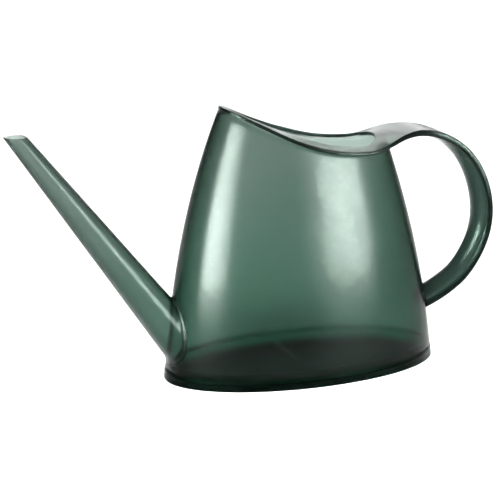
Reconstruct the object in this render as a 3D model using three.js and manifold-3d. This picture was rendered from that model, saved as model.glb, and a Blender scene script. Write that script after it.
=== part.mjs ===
// Long-spout watering can, moulded in green translucent plastic.
// Millimetres, +Z up. The spout points along -X and the handle along +X, and the can is
// symmetric about the XZ plane. It stands on z = 0 with the base centred on the origin.
import * as THREE from 'three';
import { mergeVertices } from 'three/addons/utils/BufferGeometryUtils.js';
import Module from 'manifold-3d';

// ---- Driving dimensions ----
const GAP = 0.3; // clearance between pieces that touch
const WALL = 2.2; // body wall

// Body outline: each extent is a start value at the ground and a cubic in the height fraction.
const BODY_HEIGHT = 190;
const BODY_FRONT = [-100, 14.5, 15.8, 10.6];
const BODY_REAR = [100, -17.5, -36.9, 5.6];
const BODY_SIDE = [48.7, -14.4, -9.9, 0];
const SECTION_POWER = [2.03, 0.1, 0.4, -0.38]; // 2 is an ellipse, more is squarer
const AROUND = 72; // facets round the body
const UP = 12; // facets up the body wall

const TRAY_HEIGHT = 7.2;
const TRAY_FLOOR = 2.6;
const TRAY_PROUD = 0.5; // how far the base band stands outside the body wall
const TRAY_CORNER = 0.8;
const SPIGOT_TOP = 11;
const SPIGOT_WALL = 1.7;

// Edge of the rim, from its front peak round one side of the mouth and on into the strap
// handle, down to its foot: x, half width, z.
const RIM_EDGE = [
  [-59.2, 0, 191],
  [-57.6, 7.4, 190.5],
  [-53.2, 12.6, 188.8],
  [-39.8, 20.6, 182.4],
  [-10.4, 28.8, 168.1],
  [13.2, 31, 161.1],
  [34.8, 30.1, 158.5],
  [46.4, 28, 158.9],
  [57, 24.7, 162.1],
  [68.2, 20.5, 166],
  [80.8, 16.1, 167.7],
  [95.2, 13.1, 165.8],
  [110.7, 12.2, 159.5],
  [125, 12.1, 148.1],
  [135.8, 12.3, 132.2],
  [142, 12.4, 113.6],
  [142.9, 12.1, 94.5],
  [138, 11.4, 75.5],
  [125.9, 10.4, 55.6],
  [110.5, 9.9, 43.3],
  [85, 9.4, 31],
];
const RIM_STATIONS = 84;
const RIM_ACROSS = 10;
const RIM_THICKNESS = 2.6;
const NECK_THICKNESS = 4.7; // where the rim becomes the strap
const STRAP_THICKNESS = 3.6; // at the strap's edges
const STRAP_BULGE = 8; // the strap's inner face is rounded, by this much in the middle
const FOOT_BULGE = 10;
const RIM_CROWN = 5.2; // rise of the lip from its outer edge to the mouth
const STRAP_CROWN = 0.1;

const MOUTH_CENTRE = 30.9; // x where the mouth is widest
const MOUTH_REAR = 52.2;
const MOUTH_FRONT = -53;
const MOUTH_HALF_WIDTH = 22;

const SPOUT_TIP = new THREE.Vector3(-198.7, 0, 180);
const SPOUT_ROOT = new THREE.Vector3(-83.2, 0, 20.2);
const SPOUT_TIP_RADIUS = 6.3;
const SPOUT_ROOT_RADIUS = 15.7;
const SPOUT_WIDENING = 1.11; // across / fore-and-aft
const SPOUT_WALL = 1.7;
const SPOUT_FACETS = 40;
const COLLAR_WIDTH = 1.6;
const COLLAR_HEIGHT = 0.45;

// ---- Solids: closed three.js geometries, joined and cut with manifold-3d ----
const wasm = await Module();
wasm.setup();

function toSolid(geometry) {
  const bare = geometry.clone();
  bare.deleteAttribute('normal');
  bare.deleteAttribute('uv');
  const merged = mergeVertices(bare, 1e-3);
  const corners = merged.index.array;
  const triangles = [];
  for (let i = 0; i < corners.length; i += 3) {
    const [a, b, c] = corners.slice(i, i + 3);
    if (a !== b && b !== c && c !== a) triangles.push(a, b, c);
  }
  return new wasm.Manifold(new wasm.Mesh({
    numProp: 3,
    vertProperties: Float32Array.from(merged.attributes.position.array),
    triVerts: Uint32Array.from(triangles),
  }));
}

function toGeometry(solid) {
  const { vertProperties, triVerts } = solid.getMesh();
  const geometry = new THREE.BufferGeometry();
  geometry.setAttribute('position', new THREE.BufferAttribute(vertProperties, 3));
  geometry.setIndex(new THREE.BufferAttribute(triVerts, 1));
  geometry.computeVertexNormals();
  return geometry;
}

// Moves every vertex of a geometry to the place that `place` gives it.
function warp(geometry, place) {
  const position = geometry.attributes.position;
  const vertex = new THREE.Vector3();
  for (let i = 0; i < position.count; i += 1) {
    vertex.fromBufferAttribute(position, i);
    position.setXYZ(i, ...place(vertex).toArray());
  }
  return geometry;
}

const cubic = ([start, ...terms], h) => terms.reduce((sum, k, i) => sum + k * h ** (i + 1), start);
const smooth = THREE.MathUtils.smoothstep;
const mix = THREE.MathUtils.lerp;

// ---- Body outline ----
// Point of the body surface at angle theta and height z, moved inwards by `inset`.
function wallPoint(theta, z, inset) {
  const h = z / BODY_HEIGHT;
  const front = cubic(BODY_FRONT, h);
  const rear = cubic(BODY_REAR, h);
  const power = 2 / cubic(SECTION_POWER, h);
  const c = Math.cos(theta);
  const s = Math.sin(theta);
  const x = (rear - front) / 2 - inset;
  const y = cubic(BODY_SIDE, h) - inset;
  return new THREE.Vector3(
    (front + rear) / 2 + Math.sign(c) * x * Math.abs(c) ** power,
    Math.sign(s) * y * Math.abs(s) ** power,
    z,
  );
}

// Turns a profile of [inset, height] points round the body. A null inset is on the axis.
// `heightAt` may bend the heights: it gets the angle, the height and the inset.
const LATHE_RADIUS = 200;
function aroundBody(profile, heightAt = (theta, z) => z) {
  const points = profile.map(([inset, z]) => {
    return new THREE.Vector2(inset === null ? 0 : LATHE_RADIUS - inset, z);
  });
  const lathe = new THREE.LatheGeometry(points, AROUND).rotateX(Math.PI / 2);
  return warp(lathe, (v) => {
    const radius = Math.hypot(v.x, v.y);
    const theta = Math.atan2(v.y, v.x);
    if (radius < 1) return new THREE.Vector3(0, 0, v.z);
    const inset = LATHE_RADIUS - radius;
    return wallPoint(theta, heightAt(theta, v.z, inset), inset);
  });
}

// A solid of the body's outer shape, swollen by `swell`, between two heights.
function bodyBlock(swell, low, high) {
  const profile = [[null, low]];
  for (let i = 0; i <= UP; i += 1) profile.push([-swell, mix(low, high, i / UP)]);
  profile.push([null, high]);
  return toSolid(aroundBody(profile));
}

// ---- Rim edge ----
const mirrored = RIM_EDGE.slice(1, 4).reverse().map(([x, w, z]) => [x, -w, z]);
const rimCurve = new THREE.CatmullRomCurve3(
  [...mirrored, ...RIM_EDGE].map((p) => new THREE.Vector3(...p)),
  false,
  'centripetal',
);
const PEAK = mirrored.length / (mirrored.length + RIM_EDGE.length - 1);
const FRONT_END = 0.03; // the band keeps one slope from the peak to here

// Where the rim edge is at fraction u of the way from the peak to the foot, with the
// direction square to the band and towards the can, its thickness, bulge and crown.
function rimAt(u) {
  const point = rimCurve.getPoint(mix(PEAK, 1, u));
  const along = rimCurve.getTangent(mix(PEAK, 1, Math.max(u, FRONT_END))).setY(0).normalize();
  const neck = mix(RIM_THICKNESS, NECK_THICKNESS, smooth(u, 0.36, 0.55));
  return {
    point,
    inward: new THREE.Vector3(along.z, 0, -along.x),
    thickness: mix(neck, STRAP_THICKNESS, smooth(u, 0.6, 0.8)),
    bulge: mix(STRAP_BULGE * smooth(u, 0.5, 0.76), FOOT_BULGE, smooth(u, 0.82, 0.98)),
    crown: mix(RIM_CROWN * smooth(point.x, -44, 0), STRAP_CROWN, smooth(u, 0.34, 0.48)),
  };
}

// Height of the rim's underside above the plan point (x, y).
function rimUnderside(x, y) {
  let low = 0;
  let high = 0.52;
  for (let i = 0; i < 14; i += 1) {
    const middle = (low + high) / 2;
    if (rimAt(middle).point.x < x) low = middle;
    else high = middle;
  }
  const { point, inward, thickness, crown } = rimAt(low);
  const across = Math.min(1, Math.abs(y) / Math.max(point.y, 1));
  return point.z + crown * (1 - across ** 2) - thickness / Math.abs(inward.z);
}

// Height at which the wall meets the rim's underside, worked out once for each angle.
const wallTops = new Map();
function wallTop(theta, inset) {
  const key = `${theta.toFixed(4)} ${inset.toFixed(2)}`;
  if (!wallTops.has(key)) {
    let z = 165;
    for (let i = 0; i < 24; i += 1) {
      const p = wallPoint(theta, z, inset);
      z = mix(z, rimUnderside(p.x, p.y) - 2 * GAP, 0.5);
    }
    wallTops.set(key, z);
  }
  return wallTops.get(key);
}

// ---- Spout ----
const spoutAxis = new THREE.Vector3().subVectors(SPOUT_TIP, SPOUT_ROOT);
const SPOUT_LENGTH = spoutAxis.length();
spoutAxis.normalize();
const spoutTurn = new THREE.Quaternion().setFromUnitVectors(new THREE.Vector3(0, 1, 0), spoutAxis);

// A tapered round bar along the spout's axis, `grow` larger than the spout in radius,
// between two distances from the root.
function spoutBar(grow, from, to) {
  const radius = (d) => mix(SPOUT_ROOT_RADIUS, SPOUT_TIP_RADIUS, d / SPOUT_LENGTH) + grow;
  const bar = new THREE.CylinderGeometry(radius(to), radius(from), to - from, SPOUT_FACETS);
  bar.translate(0, (from + to) / 2, 0);
  bar.applyQuaternion(spoutTurn);
  bar.translate(...SPOUT_ROOT.toArray());
  bar.scale(1, SPOUT_WIDENING, 1);
  return toSolid(bar);
}

function spout() {
  const tipCut = new THREE.BoxGeometry(80, 80, 60);
  tipCut.translate(SPOUT_TIP.x, 0, SPOUT_TIP.z + 30);
  const collar = spoutBar(COLLAR_WIDTH, -12, 70).intersect(bodyBlock(GAP + COLLAR_HEIGHT, 5, 100));
  return spoutBar(0, -12, SPOUT_LENGTH + 20)
    .add(collar)
    .subtract(bodyBlock(GAP, -10, 110))
    .subtract(spoutBar(-SPOUT_WALL, -20, SPOUT_LENGTH + 30))
    .subtract(toSolid(tipCut));
}

// ---- Body shell: open at the top and the bottom, with a hole where the spout joins ----
function bodyShell() {
  const low = TRAY_HEIGHT + GAP;
  const profile = [];
  for (let i = 0; i <= UP; i += 1) profile.push([0, i / UP]);
  for (let i = UP; i >= 0; i -= 1) profile.push([WALL, i / UP]);
  profile.push([0, 0]);
  const wall = aroundBody(profile, (theta, f, inset) => mix(low, wallTop(theta, inset), f));
  return toSolid(wall).subtract(spoutBar(-SPOUT_WALL, 0, 90));
}

// ---- Base tray: flat floor, outside band and a spigot that locates the shell ----
function baseTray() {
  const inner = WALL + GAP;
  const profile = [[null, 0], [TRAY_CORNER, 0]];
  for (let i = 1; i <= 4; i += 1) {
    const a = (i / 4) * (Math.PI / 2);
    const out = (TRAY_CORNER + TRAY_PROUD) * Math.sin(a);
    profile.push([TRAY_CORNER - out, TRAY_CORNER * (1 - Math.cos(a))]);
  }
  profile.push(
    [-TRAY_PROUD, TRAY_HEIGHT],
    [inner, TRAY_HEIGHT],
    [inner, SPIGOT_TOP],
    [inner + SPIGOT_WALL, SPIGOT_TOP],
    [inner + SPIGOT_WALL, TRAY_FLOOR],
    [null, TRAY_FLOOR],
  );
  return toSolid(aroundBody(profile));
}

// ---- Rim and handle: one moulding, a lip round the mouth that runs on into a strap ----
function mouthBlock() {
  const half = MOUTH_HALF_WIDTH;
  const mouth = new THREE.Shape();
  mouth.absellipse(
    MOUTH_CENTRE,
    0,
    MOUTH_REAR - MOUTH_CENTRE,
    half,
    -Math.PI / 2,
    Math.PI / 2,
  );
  mouth.bezierCurveTo(-6, half, MOUTH_FRONT, 0.5 * half, MOUTH_FRONT, 0);
  mouth.bezierCurveTo(MOUTH_FRONT, -0.5 * half, -6, -half, MOUTH_CENTRE, -half);
  const block = new THREE.ExtrudeGeometry(mouth, {
    depth: 100,
    bevelEnabled: false,
    curveSegments: 24,
  });
  return toSolid(block.translate(0, 0, 120));
}

function rimHandle() {
  const band = new THREE.BoxGeometry(1, 2, 1, RIM_STATIONS, RIM_ACROSS, 2);
  warp(band, (v) => {
    const u = 0.004 + 0.996 * (v.x + 0.5) ** 1.25;
    const { point, inward, thickness, bulge, crown } = rimAt(u);
    const across = Math.sin((v.y * Math.PI) / 2);
    const dome = 1 - across ** 2;
    const chamfer = dome < 1e-3 ? 0.6 : 1;
    const depth = thickness * (0.5 - v.z * chamfer) + bulge * dome * (0.5 - v.z) - crown * dome;
    return new THREE.Vector3(point.x, across * Math.max(point.y, 0.3), point.z)
      .addScaledVector(inward, depth);
  });
  return toSolid(band).subtract(mouthBlock()).subtract(bodyBlock(GAP, 15, 110));
}

// ---- Assembly ----
function piece(name, solid, color, roughness) {
  const material = new THREE.MeshStandardMaterial({ color, roughness, metalness: 0 });
  const mesh = new THREE.Mesh(toGeometry(solid), material);
  mesh.name = name;
  return mesh;
}

const wateringCan = new THREE.Group();
wateringCan.add(
  piece('body_shell', bodyShell(), 0x7fa394, 0.42),
  piece('base_tray', baseTray(), 0x3a5c4e, 0.4),
  piece('spout', spout(), 0x86a698, 0.25),
  piece('rim_handle', rimHandle(), 0x6f9484, 0.2),
);

export default wateringCan;
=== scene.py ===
"""Looks of the long-spout watering can: smooth meshes and translucent plastics.

The can has four pieces: body shell, base tray, spout, and the rim with its strap handle. Each is
a closed mesh built from the same driving dimensions as the CAD model. The tray, the spout and the
band of the rim and strap have rounded edges.
"""

import bisect
import math

import bpy
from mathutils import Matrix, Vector


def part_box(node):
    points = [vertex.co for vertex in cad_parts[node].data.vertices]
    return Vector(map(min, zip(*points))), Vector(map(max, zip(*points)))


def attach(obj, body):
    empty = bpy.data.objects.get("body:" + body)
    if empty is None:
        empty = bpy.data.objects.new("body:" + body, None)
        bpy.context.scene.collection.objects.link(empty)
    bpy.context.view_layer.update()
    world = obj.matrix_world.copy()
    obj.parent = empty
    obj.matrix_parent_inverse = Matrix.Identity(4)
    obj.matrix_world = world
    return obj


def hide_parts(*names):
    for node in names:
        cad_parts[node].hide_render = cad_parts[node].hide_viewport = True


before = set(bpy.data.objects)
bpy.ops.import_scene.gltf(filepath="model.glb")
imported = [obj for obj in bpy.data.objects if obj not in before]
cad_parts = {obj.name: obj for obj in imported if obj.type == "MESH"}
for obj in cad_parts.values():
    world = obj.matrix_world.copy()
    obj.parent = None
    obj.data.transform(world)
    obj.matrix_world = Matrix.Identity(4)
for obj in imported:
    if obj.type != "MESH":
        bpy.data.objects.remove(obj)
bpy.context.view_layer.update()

# ---- Driving dimensions, in millimetres like the CAD model; MM turns them into metres ----
MM = 0.001


def top_corner(node, axis):
    """The largest coordinate of a CAD node's box along an axis, in millimetres."""
    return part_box(node)[1]["xyz".index(axis)] / MM


WALL = 2.2
TRAY_PROUD = 0.5
SEAM = 0.12  # gap that shows as the weld line
BODY_HEIGHT = 190
BASE_HALF_LENGTH = top_corner("base_tray", "x") - TRAY_PROUD
BASE_HALF_WIDTH = top_corner("base_tray", "y") - TRAY_PROUD
# Terms of a cubic in the height fraction: front and rear x, half width, superellipse power.
BODY_FRONT = (-BASE_HALF_LENGTH, 14.5, 15.8, 10.6)
BODY_REAR = (BASE_HALF_LENGTH, -17.5, -36.9, 5.6)
BODY_SIDE = (BASE_HALF_WIDTH, -14.4, -9.9, 0)
SECTION_POWER = (2.03, 0.1, 0.4, -0.38)
TRAY_HEIGHT = 7.2
TRAY_FLOOR = 2.6
TRAY_CORNER = 0.8
SPIGOT_TOP = top_corner("base_tray", "z")
SPIGOT_WALL = 1.7

# Edge of the rim, from its peak, and the strap handle that it runs into: x, half width, z.
RIM_EDGE = (
    (-59.2, 0, 191),
    (-57.6, 7.4, 190.5),
    (-53.2, 12.6, 188.8),
    (-39.8, 20.6, 182.4),
    (-10.4, 28.8, 168.1),
    (13.2, 31, 161.1),
    (34.8, 30.1, 158.5),
    (46.4, 28, 158.9),
    (57, 24.7, 162.1),
    (68.2, 20.5, 166),
    (80.8, 16.1, 167.7),
    (95.2, 13.1, 165.8),
    (110.7, 12.2, 159.5),
    (125, 12.1, 148.1),
    (135.8, 12.3, 132.2),
    (142, 12.4, 113.6),
    (142.9, 12.1, 94.5),
    (138, 11.4, 75.5),
    (125.9, 10.4, 55.6),
    (110.5, 9.9, 43.3),
    (85, 9.4, 31),
)
RIM_THICKNESS = 2.6
NECK_THICKNESS = 4.7
STRAP_THICKNESS = 3.6
STRAP_BULGE = 8  # extra thickness in the middle of the strap
FOOT_BULGE = 10
RIM_CROWN = 5.2  # how far the middle stands above the edges
STRAP_CROWN = 0.1
EDGE_RADIUS = 0.8
NECK_X = 70  # where the ring round the mouth hands over to the strap

MOUTH_CENTRE = 30.9
MOUTH_REAR = 52.2
MOUTH_FRONT = -53
MOUTH_SHOULDER = -6  # x of the control point that pulls the mouth's side out
MOUTH_HALF_WIDTH = 22

SPOUT_TIP = Vector((-198.7, 0, 180))
SPOUT_ROOT = Vector((-83.2, 0, 20.2))
SPOUT_TIP_RADIUS = 6.3
SPOUT_ROOT_RADIUS = 15.7
SPOUT_WIDENING = 1.11
SPOUT_WALL = 1.7
COLLAR_WIDTH = 1.6
COLLAR_HEIGHT = 0.45
FILLET = 2.4  # how far the spout's root fillet reaches from the body


# ---- Small maths ----
def mix(a, b, t):
    """The value a fraction t of the way from a to b."""
    return a + (b - a) * t


def smooth(value, low, high):
    """0 below low, 1 above high, with an eased step between them."""
    t = min(1, max(0, (value - low) / (high - low)))
    return t * t * (3 - 2 * t)


def steps(count):
    """count + 1 even fractions from 0 to 1."""
    return [i / count for i in range(count + 1)]


def cubic(terms, h):
    """Value at h of a polynomial with the given terms, lowest power first."""
    return sum(term * h ** power for power, term in enumerate(terms))


def catmull_rom(points, t):
    """Point at t of a centripetal Catmull-Rom curve through the points."""
    last = len(points) - 1
    i = min(int(t * last), last - 1)
    p1, p2 = points[i], points[i + 1]
    p0 = points[i - 1] if i > 0 else 2 * p1 - p2
    p3 = points[i + 2] if i + 2 <= last else 2 * p2 - p1
    d0, d1, d2 = ((b - a).length ** 0.5 for a, b in ((p0, p1), (p1, p2), (p2, p3)))
    start = d1 * ((p1 - p0) / d0 - (p2 - p0) / (d0 + d1) + (p2 - p1) / d1)
    end = d1 * ((p2 - p1) / d1 - (p3 - p1) / (d1 + d2) + (p3 - p2) / d2)
    f = t * last - i
    return (
        p1
        + start * f
        + (3 * (p2 - p1) - 2 * start - end) * f ** 2
        + (2 * (p1 - p2) + start + end) * f ** 3
    )


# ---- Mesh building ----
def add_mesh(name, points, faces):
    """A smooth-shaded object from points in millimetres."""
    mesh = bpy.data.meshes.new(name)
    mesh.from_pydata([tuple(p * MM for p in point) for point in points], [], faces)
    mesh.validate()
    mesh.shade_smooth()
    piece = bpy.data.objects.new(name, mesh)
    bpy.context.scene.collection.objects.link(piece)
    return piece


def ring_faces(rings, size, closed):
    """Quads between neighbouring rings of `size` points; closed also joins the last to the first."""
    faces = []
    for r in range(rings if closed else rings - 1):
        for c in range(size):
            here, there = r * size, (r + 1) % rings * size
            following = (c + 1) % size
            faces.append((here + c, there + c, there + following, here + following))
    return faces


def sheet_faces(grid, flip):
    """Quads between neighbouring lines of point indices; flip turns them over."""
    faces = []
    for a, b in zip(grid, grid[1:]):
        for i in range(len(a) - 1):
            quad = (a[i], a[i + 1], b[i + 1], b[i])
            faces.append(quad if flip else tuple(reversed(quad)))
    return faces


def apply_modifiers(piece):
    """Turns a piece's modifiers into its mesh."""
    bpy.context.view_layer.update()
    evaluated = piece.evaluated_get(bpy.context.evaluated_depsgraph_get())
    mesh = bpy.data.meshes.new_from_object(evaluated)
    piece.modifiers.clear()
    piece.data = mesh
    mesh.shade_smooth()


# ---- Body outline ----
def section(z):
    """Centre, half length, half width and power of the body's section at a height."""
    h = z / BODY_HEIGHT
    front, rear = cubic(BODY_FRONT, h), cubic(BODY_REAR, h)
    return (front + rear) / 2, (rear - front) / 2, cubic(BODY_SIDE, h), cubic(SECTION_POWER, h)


def wall_point(theta, z, inset):
    """Point of the body's wall at an angle and a height, `inset` inside its outer face."""
    centre, length, width, power = section(z)
    c, s = math.cos(theta), math.sin(theta)
    x = centre + math.copysign((length - inset) * abs(c) ** (2 / power), c)
    y = math.copysign((width - inset) * abs(s) ** (2 / power), s)
    return Vector((x, y, z))


def outside_body(point, swell):
    """Above zero where the point is outside the body swollen by `swell`."""
    centre, length, width, power = section(point.z)
    x = abs(point.x - centre) / (length + swell)
    y = abs(point.y) / (width + swell)
    return x ** power + y ** power - 1


AROUND = 288  # points round the body


def around_body(name, profile):
    """A closed solid from a loop of functions theta -> (inset, height), turned round the body."""
    points = []
    for i in range(AROUND):
        theta = 2 * math.pi * i / AROUND
        for place in profile:
            inset, z = place(theta)
            points.append(wall_point(theta, z, inset))
    return add_mesh(name, points, ring_faces(AROUND, len(profile), True))


# ---- Rim edge and strap ----
# A few points of the other side lead in, so that the curve runs smoothly over the peak.
LEAD_IN = 3
EDGE_POINTS = [Vector((x, -w, z)) for x, w, z in reversed(RIM_EDGE[1:LEAD_IN + 1])]
EDGE_POINTS += [Vector(p) for p in RIM_EDGE]
PEAK = LEAD_IN / (len(EDGE_POINTS) - 1)
FRONT_END = 0.03  # the inward direction is held from here to the peak
LOOKUP_END = 0.56  # x grows along the edge from the peak to here, so it can be looked up
NUDGE = 0.002  # step along the edge that gives its direction


def edge_point(u):
    """Point of the edge's +Y side at fraction u from the peak to the strap's foot."""
    return catmull_rom(EDGE_POINTS, mix(PEAK, 1, u))


def rim_at(u):
    """Edge point, inward direction, edge thickness, bulge and crown at fraction u of the edge."""
    held = min(max(u, FRONT_END), 1 - NUDGE)
    along = edge_point(held + NUDGE) - edge_point(held - NUDGE)
    along.y = 0
    along.normalize()
    point = edge_point(u)
    neck = mix(RIM_THICKNESS, NECK_THICKNESS, smooth(u, 0.36, 0.55))
    thickness = mix(neck, STRAP_THICKNESS, smooth(u, 0.6, 0.8))
    bulge = mix(STRAP_BULGE * smooth(u, 0.5, 0.76), FOOT_BULGE, smooth(u, 0.82, 0.98))
    crown = mix(RIM_CROWN * smooth(point.x, -44, 0), STRAP_CROWN, smooth(u, 0.34, 0.48))
    return point, Vector((along.z, 0, -along.x)), thickness, bulge, crown


EDGE_TABLE = [(edge_point(u).x, u) for u in (LOOKUP_END * f for f in steps(900))]


def edge_fraction(x):
    """Fraction u of the edge at a given x, from the peak to the start of the strap."""
    i = min(max(bisect.bisect(EDGE_TABLE, (x,)), 1), len(EDGE_TABLE) - 1)
    (x0, u0), (x1, u1) = EDGE_TABLE[i - 1], EDGE_TABLE[i]
    return min(max(mix(u0, u1, (x - x0) / (x1 - x0)), 0), LOOKUP_END)


def band_point(u, across, depth):
    """Point of the band: across is -1 to 1 between its edges, depth 0 on top to 1 underneath."""
    point, inward, thickness, bulge, crown = rim_at(u)
    dome = max(0, 1 - across ** 2)
    rounded = max(0, 1 - (across / 0.84) ** 2) ** 0.7
    place = Vector((point.x, across * point.y, point.z))
    return place + inward * (depth * (thickness + bulge * rounded) - crown * dome)


def rim_point(x, y, depth):
    """Point of the rim above the plan point (x, y)."""
    station = x
    for _ in range(4):
        u = edge_fraction(station)
        across = min(1, max(-1, y / max(edge_point(u).y, 0.5)))
        station += (x - band_point(u, across, 0).x) * 0.9
    return band_point(u, across, depth)


def rim_underside(x, y):
    """Height of the rim's underside over the plan point (x, y)."""
    u = edge_fraction(max(x, edge_point(0.012).x))
    point, inward, thickness, _, crown = rim_at(u)
    across = min(1, abs(y) / max(point.y, 1))
    return point.z + crown * (1 - across ** 2) - thickness / abs(inward.z)


def wall_tops(inset):
    """Height of the wall's top for each angle round the body, a little under the rim."""
    gap = 2.5 * SEAM
    tops = []
    z = 160
    for i in range(AROUND):
        theta = 2 * math.pi * i / AROUND
        for _ in range(14):
            place = wall_point(theta, z, inset)
            z = mix(z, rim_underside(place.x, place.y) - gap, 0.5)
        tops.append(z)
    return tops


# ---- Body shell ----
def body_shell():
    """The tapered wall, from the tray to just under the rim, with a hole for the spout's bore."""
    low = TRAY_HEIGHT + SEAM
    rows = 44
    outer_tops, inner_tops = wall_tops(0), wall_tops(WALL)

    def wall(inset, fraction, tops):
        def place(theta):
            i = round(theta / (2 * math.pi) * AROUND)
            return inset, mix(low, tops[i], fraction)
        return place

    profile = [wall(0, f, outer_tops) for f in steps(rows)]
    profile += [wall(WALL, f, inner_tops) for f in reversed(steps(rows))]
    shell = around_body("shell", profile)
    bore = spout_bar("spout_bore_cutter", -SPOUT_WALL, 0, PAST_WALL)
    cut = shell.modifiers.new("spout hole", "BOOLEAN")
    cut.operation = "DIFFERENCE"
    cut.solver = "EXACT"
    cut.object = bore
    apply_modifiers(shell)
    bpy.data.objects.remove(bore)
    return shell


# ---- Base tray ----
def base_tray():
    """The floor with its outside band and the spigot inside the wall."""
    inner = WALL + 2 * SEAM
    corner = 0.5
    profile = [(40, 0), (TRAY_CORNER, 0)]
    for f in steps(6)[1:]:
        a = f * math.pi / 2
        profile.append((
            TRAY_CORNER - (TRAY_CORNER + TRAY_PROUD) * math.sin(a),
            TRAY_CORNER * (1 - math.cos(a)),
        ))
    profile += [(-TRAY_PROUD, z) for z in (2.5, 4, 5.5, TRAY_HEIGHT - corner - 0.2)]
    for f in steps(4):
        a = f * math.pi / 2
        profile.append((
            corner * (1 - math.cos(a)) - TRAY_PROUD,
            TRAY_HEIGHT - corner * (1 - math.sin(a)),
        ))
    profile += [
        (inner, TRAY_HEIGHT),
        (inner, SPIGOT_TOP - 0.3),
        (inner + 0.3, SPIGOT_TOP),
        (inner + SPIGOT_WALL - 0.3, SPIGOT_TOP),
        (inner + SPIGOT_WALL, SPIGOT_TOP - 0.3),
        (inner + SPIGOT_WALL + 0.2, TRAY_FLOOR + 1.5),
        (inner + SPIGOT_WALL + 1.5, TRAY_FLOOR),
        (40, TRAY_FLOOR),
    ]
    points = []
    size = len(profile)
    for i in range(AROUND):
        theta = 2 * math.pi * i / AROUND
        points += [wall_point(theta, z, inset) for inset, z in profile]
    faces = []
    for i in range(AROUND):
        here, there = i * size, (i + 1) % AROUND * size
        faces += [(here + c, there + c, there + c + 1, here + c + 1) for c in range(size - 1)]
    faces.append([i * size for i in reversed(range(AROUND))])
    faces.append([i * size + size - 1 for i in range(AROUND)])
    return add_mesh("tray", points, faces)


# ---- Spout ----
SPOUT_LENGTH = (SPOUT_TIP - SPOUT_ROOT).length
SPOUT_AXIS = (SPOUT_TIP - SPOUT_ROOT).normalized()
SPOUT_SIDE = Vector((0, 1, 0))
SPOUT_UPPER = SPOUT_SIDE.cross(SPOUT_AXIS)
FACETS = 128  # points round the spout
# Distances from the spout's root between which the body's wall and the tip are looked for.
BEFORE_WALL, PAST_WALL = -30, 90
BEFORE_TIP, PAST_TIP = 100, SPOUT_LENGTH + 30


def spout_point(phi, distance, grow):
    """Point of the cone `grow` outside the spout, at a distance from its root."""
    radius = mix(SPOUT_ROOT_RADIUS, SPOUT_TIP_RADIUS, distance / SPOUT_LENGTH) + grow
    upper = SPOUT_UPPER * (radius * math.cos(phi))
    side = SPOUT_SIDE * (radius * SPOUT_WIDENING * math.sin(phi))
    return SPOUT_ROOT + SPOUT_AXIS * distance + upper + side


def along_spout(phi, grow, is_past, low, high):
    """Distance from the root at which the cone's line at phi first is_past."""
    for _ in range(30):
        middle = (low + high) / 2
        if is_past(spout_point(phi, middle, grow)):
            high = middle
        else:
            low = middle
    return low


def spout_bar(name, grow, start, end):
    """A solid piece of the spout's cone between two distances from its root."""
    points = []
    for distance in (start, end):
        points += [spout_point(2 * math.pi * i / FACETS, distance, grow) for i in range(FACETS)]
    faces = [tuple(reversed(face)) for face in ring_faces(2, FACETS, False)]
    faces += [list(reversed(range(FACETS))), [FACETS + i for i in range(FACETS)]]
    return add_mesh(name, points, faces)


def spout():
    """The hollow spout, with a rounded tip and a collar that lies on the body."""
    rows = 40
    lines = []
    # Cross-section of the collar and its fillet: how far outside the cone and the body.
    collar = [(0, FILLET), (0.08, 1.8), (0.25, 1.2), (0.6, 0.75), (1, 0.55)]
    collar += [(1.3, COLLAR_HEIGHT), (1.5, 0.36), (COLLAR_WIDTH, 0.25)]
    collar += [(COLLAR_WIDTH, SEAM), (0, SEAM)]
    # Cross-section of the tip: how far outside the cone and below the level top.
    drop = 0.55
    tip_round = [(0, drop), (-0.15, 0.15), (-0.5, 0), (-1.2, 0), (-1.55, 0.15), (-SPOUT_WALL, drop)]
    for i in range(FACETS):
        phi = 2 * math.pi * i / FACETS

        def on_body(grow, swell):
            return along_spout(
                phi, grow, lambda p: outside_body(p, swell) > 0, BEFORE_WALL, PAST_WALL
            )

        def at_tip(grow, below):
            top = SPOUT_TIP.z - below
            return along_spout(phi, grow, lambda p: p.z > top, BEFORE_TIP, PAST_TIP)

        outer_end, outer_start = at_tip(0, drop), on_body(0, FILLET)
        inner_end, inner_start = at_tip(-SPOUT_WALL, drop), on_body(-SPOUT_WALL, SEAM)
        bore = [mix(inner_end, inner_start, f) for f in steps(rows)[1:]]
        skin = [mix(outer_start, outer_end, f) for f in steps(rows)[1:-1]]
        line = [spout_point(phi, at_tip(grow, below), grow) for grow, below in tip_round]
        line += [spout_point(phi, distance, -SPOUT_WALL) for distance in bore]
        line += [spout_point(phi, on_body(grow, swell), grow) for grow, swell in reversed(collar)]
        line += [spout_point(phi, distance, 0) for distance in skin]
        lines.append(line)
    size = len(lines[0])
    points = [point for line in lines for point in line]
    return add_mesh("long_spout", points, ring_faces(FACETS, size, True))


# ---- Rim and handle ----
def mouth_edge(f):
    """Plan point of the mouth's edge on the +Y side, from its front at 0 to its rear at 1."""
    front = 0.6
    if f > front:
        a = (f - front) / (1 - front) * math.pi / 2
        reach = MOUTH_REAR - MOUTH_CENTRE
        return Vector((MOUTH_CENTRE + reach * math.sin(a), MOUTH_HALF_WIDTH * math.cos(a)))
    t = f / front
    corners = (
        Vector((MOUTH_FRONT, 0)),
        Vector((MOUTH_FRONT, 0.5 * MOUTH_HALF_WIDTH)),
        Vector((MOUTH_SHOULDER, MOUTH_HALF_WIDTH)),
        Vector((MOUTH_CENTRE, MOUTH_HALF_WIDTH)),
    )
    weights = ((1 - t) ** 3, 3 * t * (1 - t) ** 2, 3 * t ** 2 * (1 - t), t ** 3)
    return sum((c * w for c, w in zip(corners, weights)), Vector((0, 0)))


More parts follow.
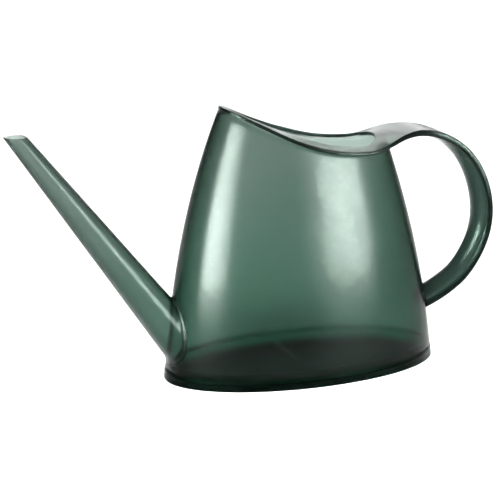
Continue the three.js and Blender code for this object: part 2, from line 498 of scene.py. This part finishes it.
ROUND_STEPS = 4  # in each quarter circle of a rounded edge
BESIDE_COLUMNS = 130  # of the ring, from the peak to the neck
NECK_COLUMNS = 24  # across half of the neck
RING_ROWS = 14
STRAP_ROWS = 160
FOOT_HALF_WIDTH = 9.6  # of the strap where it meets the body
SIDE_SHADE_MARK = "edge"  # mesh attribute for painted shade: 1 on the band's side faces, 0 elsewhere


def rounding(radius, thickness):
    """(how far out, depth fraction) over a rounded edge from the top face to the underside."""
    quarter = [f * math.pi / 2 for f in steps(ROUND_STEPS)]
    top = [(radius * math.sin(a), radius * (1 - math.cos(a)) / thickness) for a in quarter]
    return top + [(out, 1 - depth) for out, depth in reversed(top)]


def plan_lines(neck):
    """The ring's plan lines, a radius inside its edges, and the directions out of the material.

    The outer line follows the rim's edge up to `neck` and is then carried across the neck.
    """
    columns = BESIDE_COLUMNS + NECK_COLUMNS
    rim_line, rim_out, mouth_line, mouth_out = [], [], [], []
    for column in range(columns + 1):
        beside = column / BESIDE_COLUMNS
        u = neck * min(1, beside) ** 1.15
        along = (edge_point(u + NUDGE) - edge_point(u - NUDGE)).xy.normalized()
        out = Vector((-along.y, along.x)).lerp(Vector((0, 1)), smooth(beside, 0.8, 1))
        inset = edge_point(u).xy - out * EDGE_RADIUS
        share = 1 - max(0, column - BESIDE_COLUMNS) / NECK_COLUMNS
        rim_line.append(Vector((inset.x, inset.y * share)))
        rim_out.append(out)
        f = column / columns
        ahead = mouth_edge(min(1, f + 1e-3)) - mouth_edge(max(0, f - 1e-3))
        away = Vector((-ahead.y, ahead.x)).normalized()
        mouth_line.append(mouth_edge(f) + away * EDGE_RADIUS)
        mouth_out.append(-away)
    for line in (rim_line, mouth_line):
        line[0].y = line[-1].y = 0
    return rim_line, rim_out, mouth_line, mouth_out


def strap_end(across, depth):
    """Fraction u at which the strap's line meets the body."""
    low, high = 0.8, 1
    for _ in range(16):
        middle = (low + high) / 2
        if outside_body(band_point(middle, across, depth), SEAM) > 0:
            low = middle
        else:
            high = middle
    return low


def rim_handle():
    """Half of the band as a grid of sheets that share their edges, then mirrored across y = 0."""
    neck = edge_fraction(NECK_X)
    rim_line, rim_out, mouth_line, mouth_out = plan_lines(neck)
    points = []

    def add(point):
        points.append(point)
        return len(points) - 1

    def ring_sheet(depth):
        grid = []
        for start, end in zip(rim_line, mouth_line):
            plan = [start.lerp(end, f) for f in steps(RING_ROWS)]
            grid.append([add(rim_point(p.x, p.y, depth)) for p in plan])
        return grid

    def thickness_at(place):
        return rim_at(edge_fraction(place.x))[2]

    def edge_sheet(top, low, lines, outs):
        grid = []
        for start, end, line, out in zip(top, low, lines, outs):
            places = rounding(EDGE_RADIUS, thickness_at(line))[1:-1]
            middle = [
                add(rim_point(line.x + out.x * far, line.y + out.y * far, depth))
                for far, depth in places
            ]
            grid.append([start, *middle, end])
        return grid

    ring_top, ring_low = ring_sheet(0), ring_sheet(1)
    mouth_wall = edge_sheet(
        [column[-1] for column in ring_top], [column[-1] for column in ring_low],
        mouth_line, mouth_out,
    )
    rim_wall = edge_sheet(
        [column[0] for column in ring_top[:BESIDE_COLUMNS + 1]],
        [column[0] for column in ring_low], rim_line, rim_out,
    )

    def strap_sheet(first_row, depth):
        shares = [1 - i / NECK_COLUMNS for i in range(NECK_COLUMNS + 1)]
        ends = [strap_end(share * (1 - EDGE_RADIUS / FOOT_HALF_WIDTH), depth) for share in shares]
        grid = [first_row]
        for f in steps(STRAP_ROWS)[1:]:
            line = []
            for share, end in zip(shares, ends):
                u = mix(neck, end, f)
                reach = 1 - EDGE_RADIUS / edge_point(u).y
                line.append(add(band_point(u, share * reach, depth)))
            grid.append(line)
        return grid

    strap_top = strap_sheet([column[0] for column in ring_top[BESIDE_COLUMNS:]], 0)
    strap_low = strap_sheet([column[0] for column in ring_low[BESIDE_COLUMNS:]], 1)
    side = [
        (out - EDGE_RADIUS, depth, strap_end(1, depth))
        for out, depth in rounding(EDGE_RADIUS, STRAP_THICKNESS)[1:-1]
    ]
    strap_wall = [rim_wall[-1]]
    for f, top, low in zip(steps(STRAP_ROWS)[1:], strap_top[1:], strap_low[1:]):
        line = [top[0]]
        for out, depth, end in side:
            u = mix(neck, end, f)
            line.append(add(band_point(u, 1 + out / edge_point(u).y, depth)))
        strap_wall.append([*line, low[0]])

    faces = []
    for grid, flip in (
        (ring_top, True), (ring_low, False), (mouth_wall, True), (rim_wall, False),
        (strap_top, True), (strap_low, False), (strap_wall, False),
    ):
        faces += sheet_faces(grid, flip)
    faces.append((*strap_top[-1][1:], *reversed(strap_low[-1][1:]), *reversed(strap_wall[-1])))
    band = add_mesh("rim_and_strap", points, faces)
    # Painted shade: the band's side faces are marked so that the rim's colour turns near black there.
    side_points = {i for line in rim_wall + strap_wall for i in line}
    mark = band.data.attributes.new(SIDE_SHADE_MARK, "FLOAT", "POINT")
    mark.data.foreach_set("value", [1.0 if i in side_points else 0.0 for i in range(len(points))])
    mirror = band.modifiers.new("other side", "MIRROR")
    mirror.use_axis = (False, True, False)
    mirror.use_clip = True
    mirror.merge_threshold = 0.02 * MM
    apply_modifiers(band)
    return band


# ---- Materials ----
SHADED_BELOW, PALE_ABOVE = 0.03, 0.19  # heights in metres over which the painted shade near the ground fades into the rim's colour
CLOUDING = 0.03  # metres by which soft clouds shift that change
ROUGHNESS_SPREAD = 0.12
GRAIN_DEPTH = 0.00005


def noise(nodes, links, place, scale, detail):
    """A noise texture fixed to the piece."""
    texture = nodes.new("ShaderNodeTexNoise")
    texture.inputs["Scale"].default_value = scale
    texture.inputs["Detail"].default_value = detail
    links.new(place.outputs["Object"], texture.inputs["Vector"])
    return texture.outputs["Fac"]


def painted_height_shade(nodes, links, place, clouds, ground_shade, pale):
    """A colour that goes from a painted shade near the ground to pale at the rim."""
    parts = nodes.new("ShaderNodeSeparateXYZ")
    links.new(place.outputs["Object"], parts.inputs["Vector"])
    height = nodes.new("ShaderNodeMath")
    height.operation = "MULTIPLY_ADD"
    height.inputs[1].default_value = CLOUDING
    links.new(clouds, height.inputs[0])
    links.new(parts.outputs["Z"], height.inputs[2])
    blend = nodes.new("ShaderNodeMapRange")
    blend.inputs["From Min"].default_value = SHADED_BELOW
    blend.inputs["From Max"].default_value = PALE_ABOVE
    links.new(height.outputs["Value"], blend.inputs["Value"])
    colour = nodes.new("ShaderNodeMix")
    colour.data_type = "RGBA"
    colour.inputs["A"].default_value = (*ground_shade, 1)
    colour.inputs["B"].default_value = (*pale, 1)
    links.new(blend.outputs["Result"], colour.inputs["Factor"])
    return colour.outputs["Result"]


def paint_side_shade(nodes, links, colour, edge):
    """The colour, turned into the painted shade `edge` on the band's side faces."""
    mark = nodes.new("ShaderNodeAttribute")
    mark.attribute_name = SIDE_SHADE_MARK
    shade = nodes.new("ShaderNodeMix")
    shade.data_type = "RGBA"
    shade.inputs["B"].default_value = (*edge, 1)
    links.new(mark.outputs["Fac"], shade.inputs["Factor"])
    links.new(colour, shade.inputs["A"])
    return shade.outputs["Result"]


def plastic(
    name, *, pale, ground_shade, tint, density, ior, gloss, roughness, grain, clarity=1, edge=None
):
    """Translucent moulded plastic.

    pale tints its surface at the rim; towards the ground it turns into the second colour, a painted
    shade. tint and density set how fast the plastic itself takes light away. gloss colours the
    reflections seen straight on, grain is the strength of the mould texture, clarity the share of
    light that goes through, and edge a painted shade on the band's side faces.
    """
    material = bpy.data.materials.new(name)
    material.use_nodes = True
    nodes, links = material.node_tree.nodes, material.node_tree.links
    shader = nodes["Principled BSDF"]
    shader.inputs["Transmission Weight"].default_value = clarity
    shader.inputs["IOR"].default_value = ior
    shader.inputs["Specular Tint"].default_value = (*gloss, 1)

    place = nodes.new("ShaderNodeTexCoord")
    texture = noise(nodes, links, place, 900, 3)
    clouds = noise(nodes, links, place, 22, 4)

    # Painted shade: darker towards the ground, and near black on the band's side faces when edge is
    # given.
    colour = painted_height_shade(nodes, links, place, clouds, ground_shade, pale)
    if edge:
        colour = paint_side_shade(nodes, links, colour, edge)
    links.new(colour, shader.inputs["Base Color"])

    rough = nodes.new("ShaderNodeMapRange")
    rough.inputs["From Min"].default_value = 0.3
    rough.inputs["From Max"].default_value = 0.7
    rough.inputs["To Min"].default_value = roughness * (1 - ROUGHNESS_SPREAD)
    rough.inputs["To Max"].default_value = roughness * (1 + ROUGHNESS_SPREAD)
    links.new(clouds, rough.inputs["Value"])
    links.new(rough.outputs["Result"], shader.inputs["Roughness"])

    bump = nodes.new("ShaderNodeBump")
    bump.inputs["Strength"].default_value = grain
    bump.inputs["Distance"].default_value = GRAIN_DEPTH
    links.new(texture, bump.inputs["Height"])
    links.new(bump.outputs["Normal"], shader.inputs["Normal"])

    absorb = nodes.new("ShaderNodeVolumeAbsorption")
    absorb.inputs["Color"].default_value = (*tint, 1)
    absorb.inputs["Density"].default_value = density
    links.new(absorb.outputs["Volume"], nodes["Material Output"].inputs["Volume"])
    return material


# In each plastic the second colour is a painted shade near the ground, and the rim's edge colour is a
# painted shade on the band's side faces.
def satin_green():
    return plastic(
        "satin green plastic", pale=(0.97, 0.99, 0.98), ground_shade=(0.58, 0.775, 0.71),
        tint=(0.12, 0.26, 0.2), density=690, ior=1.15, gloss=(0.86, 0.98, 0.92),
        roughness=0.22, grain=0.25,
    )


def clear_green():
    return plastic(
        "clear green plastic", pale=(0.94, 0.97, 0.96), ground_shade=(0.54, 0.68, 0.62),
        tint=(0.2, 0.3, 0.26), density=700, ior=1.2, gloss=(0.4, 0.5, 0.46),
        roughness=0.24, grain=0.08,
    )


def rim_green():
    return plastic(
        "rim green plastic", pale=(0.34, 0.62, 0.5), ground_shade=(0.3, 0.58, 0.46),
        tint=(0.1, 0.25, 0.19), density=700, ior=1.3, gloss=(0.13, 0.2, 0.17),
        roughness=0.2, grain=0.08, clarity=0.992, edge=(0.015, 0.04, 0.03),
    )


def base_green():
    return plastic(
        "base plastic", pale=(0.85, 0.95, 0.92), ground_shade=(0.46, 0.84, 0.7),
        tint=(0.12, 0.36, 0.28), density=480, ior=1.12, gloss=(0.4, 1, 0.75),
        roughness=0.2, grain=0.2,
    )


# ---- Camera ----
LENS, FRAME = 115.2, 36
CAMERA_TURN = 19.26  # degrees from straight in front, towards the spout
CAMERA_RISE = 16.41  # degrees above the horizon
CAMERA_DISTANCE = 1107.86
CAMERA_TARGET = Vector((-37.86, 0, 88.53))


def camera():
    """A long lens on a square frame, turned towards the spout and looking a little down."""
    turn, rise = math.radians(CAMERA_TURN), math.radians(CAMERA_RISE)
    back = Vector((
        -math.sin(turn) * math.cos(rise),
        -math.cos(turn) * math.cos(rise),
        math.sin(rise),
    ))
    data = bpy.data.cameras.new("camera")
    data.lens = LENS
    data.sensor_width = FRAME
    data.clip_end = 100
    view = bpy.data.objects.new("camera", data)
    view.location = CAMERA_TARGET * MM + back * (CAMERA_DISTANCE * MM)
    view.rotation_euler = back.to_track_quat("Z", "Y").to_euler()
    bpy.context.scene.collection.objects.link(view)
    bpy.context.scene.camera = view


# ---- Lights and floor ----
WHITE = (1, 1, 1, 1)
PAPER = (0.9, 0.9, 0.9, 1)
FLOOR_SIDE, FLOOR_DEPTH = 9000, 30000


def softbox(name, azimuth, distance, height, size, power, spread):
    """An upright soft light that faces the can's axis from an azimuth in degrees; sizes in metres."""
    data = bpy.data.lights.new(name, "AREA")
    data.shape = "RECTANGLE"
    data.size, data.size_y = size
    data.energy = power
    data.spread = math.radians(spread)
    light = bpy.data.objects.new(name, data)
    a = math.radians(azimuth)
    light.location = (distance * math.cos(a), distance * math.sin(a), height)
    aim = Vector((0, 0, height)) - light.location
    light.rotation_euler = aim.to_track_quat("-Z", "Y").to_euler()
    bpy.context.scene.collection.objects.link(light)


def sky():
    """A faint white surround and a very soft light from above."""
    world = bpy.data.worlds.new("studio")
    bpy.context.scene.world = world
    world.use_nodes = True
    background = world.node_tree.nodes["Background"]
    background.inputs["Color"].default_value = WHITE
    background.inputs["Strength"].default_value = 0.12

    overhead = bpy.data.lights.new("overhead", "SUN")
    overhead.energy = 3.1
    overhead.angle = math.radians(100)
    bpy.context.scene.collection.objects.link(bpy.data.objects.new("overhead", overhead))


def studio_floor():
    """A large white paper floor under the can."""
    corners = [
        (-FLOOR_SIDE, -FLOOR_DEPTH, 0),
        (FLOOR_SIDE, -FLOOR_DEPTH, 0),
        (FLOOR_SIDE, FLOOR_DEPTH, 0),
        (-FLOOR_SIDE, FLOOR_DEPTH, 0),
    ]
    floor = add_mesh("floor", corners, [(0, 1, 2, 3)])
    paper = bpy.data.materials.new("white paper")
    paper.use_nodes = True
    shader = paper.node_tree.nodes["Principled BSDF"]
    shader.inputs["Base Color"].default_value = PAPER
    shader.inputs["Roughness"].default_value = 0.9
    shader.inputs["Specular IOR Level"].default_value = 0
    floor.data.materials.append(paper)


def studio():
    """Two strips whose reflections run down the body, three broad fills, the sky and the floor."""
    sky()
    softbox("left strip", -139.5, 0.55, 0.24, (0.29, 0.42), 9, 60)
    softbox("right strip", -56, 0.6, 0.24, (0.26, 0.42), 5.4, 60)
    softbox("front fill", -100, 1.4, 0.42, (1, 0.45), 15, 180)
    softbox("back light", 71, 1.3, 0.55, (1.4, 0.6), 6.5, 180)
    softbox("top light", 65, 0.95, 0.95, (1.1, 0.5), 9, 180)
    studio_floor()


# ---- Assembly ----
camera()
studio()
bpy.context.scene.view_settings.view_transform = "Standard"

satin, clear, rim, dark = satin_green(), clear_green(), rim_green(), base_green()
for build, node, slot, material in (
    (body_shell, "body_shell", "satin_green", satin),
    (base_tray, "base_tray", "base_green", dark),
    (spout, "spout", "clear_green", clear),
    (rim_handle, "rim_handle", "clear_green", rim),
):
    piece = build()
    piece.data.materials.clear()
    piece.data.materials.append(material)
    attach(piece, "root")
    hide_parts(node)
